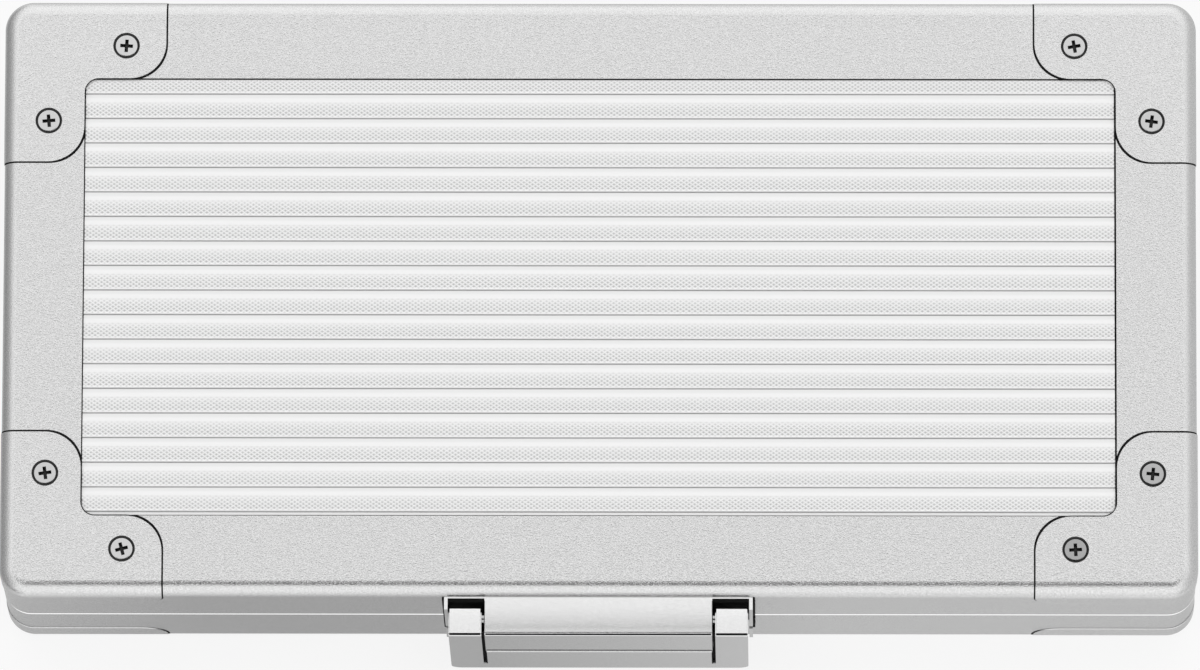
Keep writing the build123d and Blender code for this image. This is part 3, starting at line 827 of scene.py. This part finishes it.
# Blocks: one corner, the far corner and how much their edges are rounded, on the right-hand
# side; the left-hand side is their mirror image
plate_shade_blocks = [
    # painted shade: dark pads on the bracket's plate, in the hollows behind the curled ends of the
    # lever's arms
    ((hood_half + 0.02, 0.5, 1.95), (ear_inner, 0.62, 13.4), 0.04),
    ((hood_half + 0.02, 0.20, 1.77), (ear_inner, 0.62, 2.05), 0.01),
    # painted shade: dark cheeks on the hood's sides, and dark shelves between the hood and the arms
    ((hood_half, 0.6, 2.2), (hood_half + 0.07, 5.0, 13.0), 0.02),
    ((hood_half + 0.05, 0.6, 5.4), (arm_inner - 0.04, 4.4, 5.9), 0.02),
]
slit_shade_blocks = [
    # painted shade: dark strips behind the slits beside the lever's tongue and behind the gap above
    # them
    ((hood_half - 0.5, 4.72, tongue_top + 0.1), (arm_inner + 0.5, 4.88, slit_end + 0.6), 0.03),
    ((hood_half + 0.09, 4.62, 2.8), (arm_inner + 0.05, 4.88, tongue_top + 0.2), 0.02),
    # painted shade on the tongue's sides, which darkens the slits' edges
    ((hood_half - 0.13, 5.40, tongue_top + 0.2), (hood_half, 5.515, slit_end), 0.01),
]
slit_blocks = [
    # the bright end of each slit
    ((hood_half + 0.05, 5.12, slit_end - 0.3), (arm_inner - 0.05, 5.47, slit_end - 0.02), 0.02),
]

# Painted shade beside the latch's plates, as dark bands: name, body, top and bottom
plate_edge_shades = [("latch_edge_shade", "lid", 2.2, 13.65), ("keeper_edge_shade", "base", 15.15, 21.65)]
edge_shade_side, edge_shade_out, edge_shade_round = 0.33, 0.32, 0.05

# Outer sections of bent sheets, as (out, down)
hood_bead = [(5.44, 2.00), (5.545, 2.13), (5.55, 2.5)]
arm_bevel = [(5.42, 2.262), (5.545, 2.42), (5.545, 2.65)]
arm_crown = [
    (1.42, 2.40),
    (1.50, 2.28),
    (1.66, 2.205),
    (1.95, 2.175),
    (2.8, 2.165),
    (4.2, 2.17),
    (5.13, 2.185),
]
tongue_bevel = [(5.28, -0.06), (5.42, -0.03), (5.57, 0.13), (5.575, 0.5)]  # down from its top


def latch_place(x, out, down):
    return Vector((x * MM, wall_front - out * MM, lid.face - down * MM))


def slab(shape, one, other, bevel=0.0):
    """Adds a box between two places, its edges rounded off by `bevel` millimetres."""
    low = Vector(map(min, one, other))
    high = Vector(map(max, one, other))
    made = bmesh.ops.create_cube(shape, size=1.0)["verts"]
    for point in made:
        point.co = Vector([low[k] if point.co[k] < 0 else high[k] for k in range(3)])
    if bevel:
        edges = list(dict.fromkeys(edge for point in made for edge in point.link_edges))
        width = bevel * MM
        bmesh.ops.bevel(shape, geom=edges, offset=width, segments=2, affect="EDGES", profile=0.6)


def blocks(shape, rows, side):
    """Adds the blocks of one side of the latch, -1 for the left and 1 for the right."""
    for (x, *one), (far_x, *other), bevel in rows:
        slab(shape, latch_place(side * x, *one), latch_place(side * far_x, *other), bevel)


def sheet(shape, outline, inward, left, right, bevel):
    """Adds a bent sheet from x left to x right, whose outer section is a list of (out, down)."""
    count = len(outline)
    normals = []
    for k in range(count):
        before, after = outline[max(k - 1, 0)], outline[min(k + 1, count - 1)]
        run = Vector((after[0] - before[0], after[1] - before[1])).normalized()
        normals.append(Vector((run.y, -run.x)))

    def row(x, depth):
        spots = [
            (out - n.x * depth, down - n.y * depth) for (out, down), n in zip(outline, normals)
        ]
        return [shape.verts.new(latch_place(x, *spot)) for spot in spots]

    rows = [row(left + bevel, inward), row(left, inward), row(left, bevel), row(left + bevel, 0)]
    rows += [row(right - bevel, 0), row(right, bevel), row(right, inward)]
    rows.append(row(right - bevel, inward))
    for one, other in zip(rows, rows[1:] + rows[:1]):
        for k in range(count - 1):
            shape.faces.new((one[k], one[k + 1], other[k + 1], other[k]))
    for k in (0, count - 1):
        shape.faces.new([line[k] for line in rows])


def fold_arc(centre_out, centre_down, radius, first, last, steps):
    """Places along a fold, from `first` to `last` degrees over the horizontal."""
    angles = [math.radians(first + (last - first) * k / steps) for k in range(steps + 1)]
    return [(centre_out + radius * math.cos(a), centre_down - radius * math.sin(a)) for a in angles]


def latch_piece(name, body, shape, look, sharp=35):
    new_piece(name, body, finished_mesh(shape, name, sharp), looks[look])


def hood_cover():
    """The hood's plated skin: a little crowned on top, round at its fold, straight in front."""
    centre = (hood_out - hood_fold, hood_top + hood_fold)
    front = hood_out + 0.03
    outline = [(0.52 + 4.4 * t, 1.60 + 0.165 * t * t) for t in (k / 8 for k in range(9))]
    outline += fold_arc(*centre, hood_fold + 0.03, 86, 0, 9)
    outline += [(front, 3.2), (front, hood_bottom - 0.05)]
    cover = bmesh.new()
    sheet(cover, outline, 0.15, -hood_half, hood_half, 0.05)
    latch_piece("hood_cover", "lid", cover, "latch", 30)
    # painted shade: a dark line along its fold, standing in for a dark reflection, and a dark band
    # at its lower edge
    span = hood_half - 0.12
    hood_shade = bmesh.new()
    sheet(hood_shade, fold_arc(*centre, hood_fold + 0.05, 62, 22, 4), 0.04, -span, span, 0.005)
    edge = hood_half - 0.1
    low = latch_place(-edge, hood_out - 0.1, hood_bottom - 0.65)
    slab(hood_shade, low, latch_place(edge, hood_out + 0.04, hood_bottom - 0.03))
    latch_piece("hood_shade_lines", "lid", hood_shade, "rubber")
    bead = bmesh.new()
    sheet(bead, hood_bead, 0.05, -span, span, 0.01)
    latch_piece("hood_bead", "lid", bead, "latch")


def latch_plates():
    """What lies on the bracket's and the keeper's plates, all painted shade: dark pads, cheeks,
    shelves, and dark bands round the plates.
    """
    plate_shades = bmesh.new()
    for side in (-1, 1):
        blocks(plate_shades, plate_shade_blocks, side)
    latch_piece("latch_plate_shades", "lid", plate_shades, "rubber")
    for name, body, top, bottom in plate_edge_shades:
        side = ear_outer + edge_shade_side
        plate_edge_shade = bmesh.new()
        far = latch_place(side, edge_shade_out, bottom)
        slab(plate_edge_shade, latch_place(-side, 0.0, top), far, edge_shade_round)
        latch_piece(name, body, plate_edge_shade, "rubber")


def lever_details():
    """The lever's painted-shade strips and bright bends: slits, the arms' folds and tops, the
    tongue.
    """
    black, bright = bmesh.new(), bmesh.new()
    centre = (lever_out - arm_fold, arm_top + arm_fold)
    fold_shade = [(5.12, 2.170), *fold_arc(*centre, arm_fold + 0.025, 86, 46, 5)]
    for side in (-1, 1):
        blocks(black, slit_shade_blocks, side)
        blocks(bright, slit_blocks, side)
        # the folds of the arms, with painted shade along each fold, and a bright bevel in front
        ends = sorted((side * (arm_inner + 0.12), side * (arm_outer - 0.10)))
        sheet(black, fold_shade, 0.05, *ends, 0.01)
        sheet(bright, arm_bevel, 0.05, *ends, 0.01)
        # the arms' flat tops, which run on over the curl
        sheet(bright, arm_crown, 0.12, *ends, 0.04)
    # the bevelled top edge of the tongue, under the hood
    bevel = [(out, tongue_top + down) for out, down in tongue_bevel]
    sheet(bright, bevel, 0.05, -hood_half + 0.1, hood_half - 0.1, 0.01)
    latch_piece("lever_shade_strips", "lever", black, "rubber")
    latch_piece("lever_bends", "lever", bright, "latch")


# ---------------------------------------------------------------- hinges

hinge_axis_out = 1.5
heel_end, heel_shown = 2.0, 1.15  # from the hinge's axis: where the ends begin, how far they show


def lid_leaf(hand):
    """A lid leaf with shortened stop heels, so that none shows over the lid's back edge."""
    axis_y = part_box("lid_frame")[1].y + hinge_axis_out * MM
    shape = copy_of(f"hinge_{hand}_lid_leaf")
    ends = [point for point in shape.verts if point.co.y > axis_y + heel_end * MM]
    middle = sum((point.co for point in ends), Vector()) / len(ends)
    run = Vector((0, middle.y - axis_y, middle.z - seam * MM))
    for point in ends:
        point.co -= run * (1 - heel_shown * MM / run.length)
    mesh = finished_mesh(shape, f"hinge_{hand}_leaf")
    leaf = new_piece(mesh.name, "lid", mesh, looks["hinge"])
    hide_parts(f"hinge_{hand}_lid_leaf")


# ---------------------------------------------------------------- the inside

# The lining's section: inset from its outside, height over its top or over its lower edge, and
# the ring's corner radius
lining_skirt = [(0.0, 0.2, 2.0), (0.2, 0.0, 1.9), (0.6, 0.0, 1.6), (0.8, 0.2, 1.5)]
lining_pad = [
    (0.8, -1.5, 1.5),
    (0.95, -1.12, 1.6),
    (1.4, -1.0, 1.8),
    (4.6, -1.05, 3.0),
    (5.2, -0.95, 3.4),
    (5.5, -0.6, 3.6),
    (5.8, -0.95, 3.8),
    (6.6, -1.35, 4.4),
    (8.0, -1.62, 5.4),
    (10.5, -1.80, 7.0),
    (15, -1.9, 9.0),
    (25, -1.95, 12.0),
    (36, -2.0, 4.0),
]
stitch_inset, stitch_corner, stitch_height = 5.5, 3.6, -0.78
stitch_pitch, stitch_length, stitch_thick = 2.6, 1.9, 0.16
foam_voxel, foam_smoothing = 0.66, 5


def rounded_ring(half_x, half_y, radius, steps=6):
    """A rounded rectangle about the case's middle, as (x, y) in millimetres."""
    middle = (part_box("lid_frame")[0].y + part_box("lid_frame")[1].y) / 2 / MM
    ring = []
    for side_x, side_y, start in ((1, 1, 0), (-1, 1, 90), (-1, -1, 180), (1, -1, 270)):
        for step in range(steps + 1):
            angle = math.radians(start + 90 * step / steps)
            x = side_x * (half_x - radius) + radius * math.cos(angle)
            ring.append((x, middle + side_y * (half_y - radius) + radius * math.sin(angle)))
    return ring


def lid_padding():
    """The lid's lining: a sewn cloth pad over its board, and the skirt that runs to the seam."""
    low, high = (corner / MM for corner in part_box("lid_lining"))
    half_x, half_y = (high.x - low.x) / 2, (high.y - low.y) / 2
    section = [(0.0, high.z, 2.0)]
    section += [(inset, low.z + up, radius) for inset, up, radius in lining_skirt]
    section += [(inset, high.z + up, radius) for inset, up, radius in lining_pad]
    shape = bmesh.new()
    rows = []
    for inset, height, radius in section:
        ring = rounded_ring(half_x - inset, half_y - inset, radius)
        rows.append([shape.verts.new((x * MM, y * MM, height * MM)) for x, y in ring])
    for one, other in zip(rows, rows[1:]):
        bridge(shape, one, other)
    shape.faces.new(rows[-1])
    shape.faces.new(rows[0])
    mesh = finished_mesh(shape, "lid_padding", 60)
    padding = new_piece("lid_padding", "lid", mesh, looks["lining"])
    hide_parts("lid_lining")
    stitch_ring = rounded_ring(half_x - stitch_inset, half_y - stitch_inset, stitch_corner, 12)
    lid_stitching([Vector(point) for point in stitch_ring], high.z + stitch_height)


def lid_stitching(ring, height):
    """Stitches along a closed ring of places, one pitch apart."""
    stitches = bmesh.new()
    grow = Matrix.Diagonal((stitch_length / 2 * MM, stitch_thick * MM, stitch_thick * MM, 1))
    along = 0.0
    for one, other in zip(ring, ring[1:] + ring[:1]):
        run = other - one
        turn = Matrix.Rotation(math.atan2(run.y, run.x), 4, "Z")
        while along < run.length:
            spot = one + run.normalized() * along
            made = bmesh.ops.create_uvsphere(stitches, u_segments=8, v_segments=6, radius=1.0)
            place = Matrix.Translation((spot.x * MM, spot.y * MM, height * MM))
            bmesh.ops.transform(stitches, matrix=place @ turn @ grow, verts=made["verts"])
            along += stitch_pitch
        along -= run.length
    mesh = finished_mesh(stitches, "lid_stitching")
    new_piece("lid_stitching", "lid", mesh, looks["thread"])


def soft_insert():
    """The tool insert as moulded foam: the CAD tray with its edges and recesses rounded off."""
    shape = copy_of("tool_insert")
    mesh = bpy.data.meshes.new("insert_foam")
    shape.to_mesh(mesh)
    shape.free()
    rough = bpy.data.objects.new("insert_rough", mesh)
    bpy.context.scene.collection.objects.link(rough)
    fill = rough.modifiers.new("fill", "REMESH")
    fill.mode = "VOXEL"
    fill.voxel_size = foam_voxel * MM
    soften = rough.modifiers.new("soften", "SMOOTH")
    soften.factor = 0.5
    soften.iterations = foam_smoothing
    soft = evaluated(rough)
    bpy.data.objects.remove(rough)
    soft.name = "insert_foam"
    soft.materials.clear()
    soft.shade_smooth()
    foam = new_piece("insert_foam", "base", soft, looks["insert"])
    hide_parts("tool_insert")


# ---------------------------------------------------------------- the scene

bpy.context.scene.view_settings.view_transform = "Standard"
place_camera()
light_world()
lay_floor()
finish_nodes()
for half in (lid, base):
    ribbed_panel(half)
    cap_joint_shades(half)
    corner_screws(half)
hood_cover()
latch_plates()
lever_details()
lid_leaf("left")
lid_leaf("right")
lid_padding()
soft_insert()
